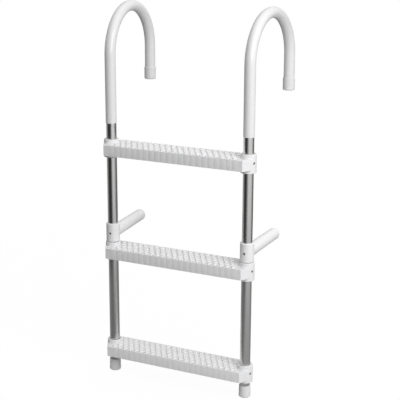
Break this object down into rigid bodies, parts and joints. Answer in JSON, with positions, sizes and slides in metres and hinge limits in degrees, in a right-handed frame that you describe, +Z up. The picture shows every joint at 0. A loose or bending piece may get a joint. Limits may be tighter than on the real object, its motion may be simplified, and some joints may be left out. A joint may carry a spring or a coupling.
{
  "type": "hook-on boarding ladder",
  "caption": "Portable boarding ladder: two bent tube rails whose sleeved hooks hang over a gunwale, wide moulded steps, hull stand-offs and soft feet.",
  "frame": {"origin": "midway between the two hooks, on top of the gunwale under their crowns", "axes": "+X across the ladder to its right as a climber sees it, +Y inboard over the gunwale, +Z up"},
  "size_m": [0.4202, 0.2759, 0.949],
  "materials": {
    "anodised_aluminium": "satin anodised tube, drawn lengthwise",
    "white_vinyl": "soft gloss vinyl sleeve",
    "white_rubber": "white satin rubber cap",
    "white_step_plastic": "white moulded plastic with a grip pattern on top",
    "white_arm_plastic": "white moulded plastic, satin",
    "blackened_steel": "blackened socket set screws, sunk in their holes"
  },
  "bodies": {
    "root": {"bottom_step": "white_step_plastic", "middle_step": "white_step_plastic", "top_step": "white_step_plastic", "left_rail": "anodised_aluminium", "left_hook_sleeve": "white_vinyl", "left_hook_cap": "white_rubber", "left_foot": "white_rubber", "left_standoff": "white_arm_plastic", "left_bottom_step_screw": "blackened_steel", "left_middle_step_screw": "blackened_steel", "left_top_step_screw": "blackened_steel", "left_standoff_screw": "blackened_steel", "right_rail": "anodised_aluminium", "right_hook_sleeve": "white_vinyl", "right_hook_cap": "white_rubber", "right_foot": "white_rubber", "right_standoff": "white_arm_plastic", "right_bottom_step_screw": "blackened_steel", "right_middle_step_screw": "blackened_steel", "right_top_step_screw": "blackened_steel", "right_standoff_screw": "blackened_steel"}
  },
  "joints": []
}
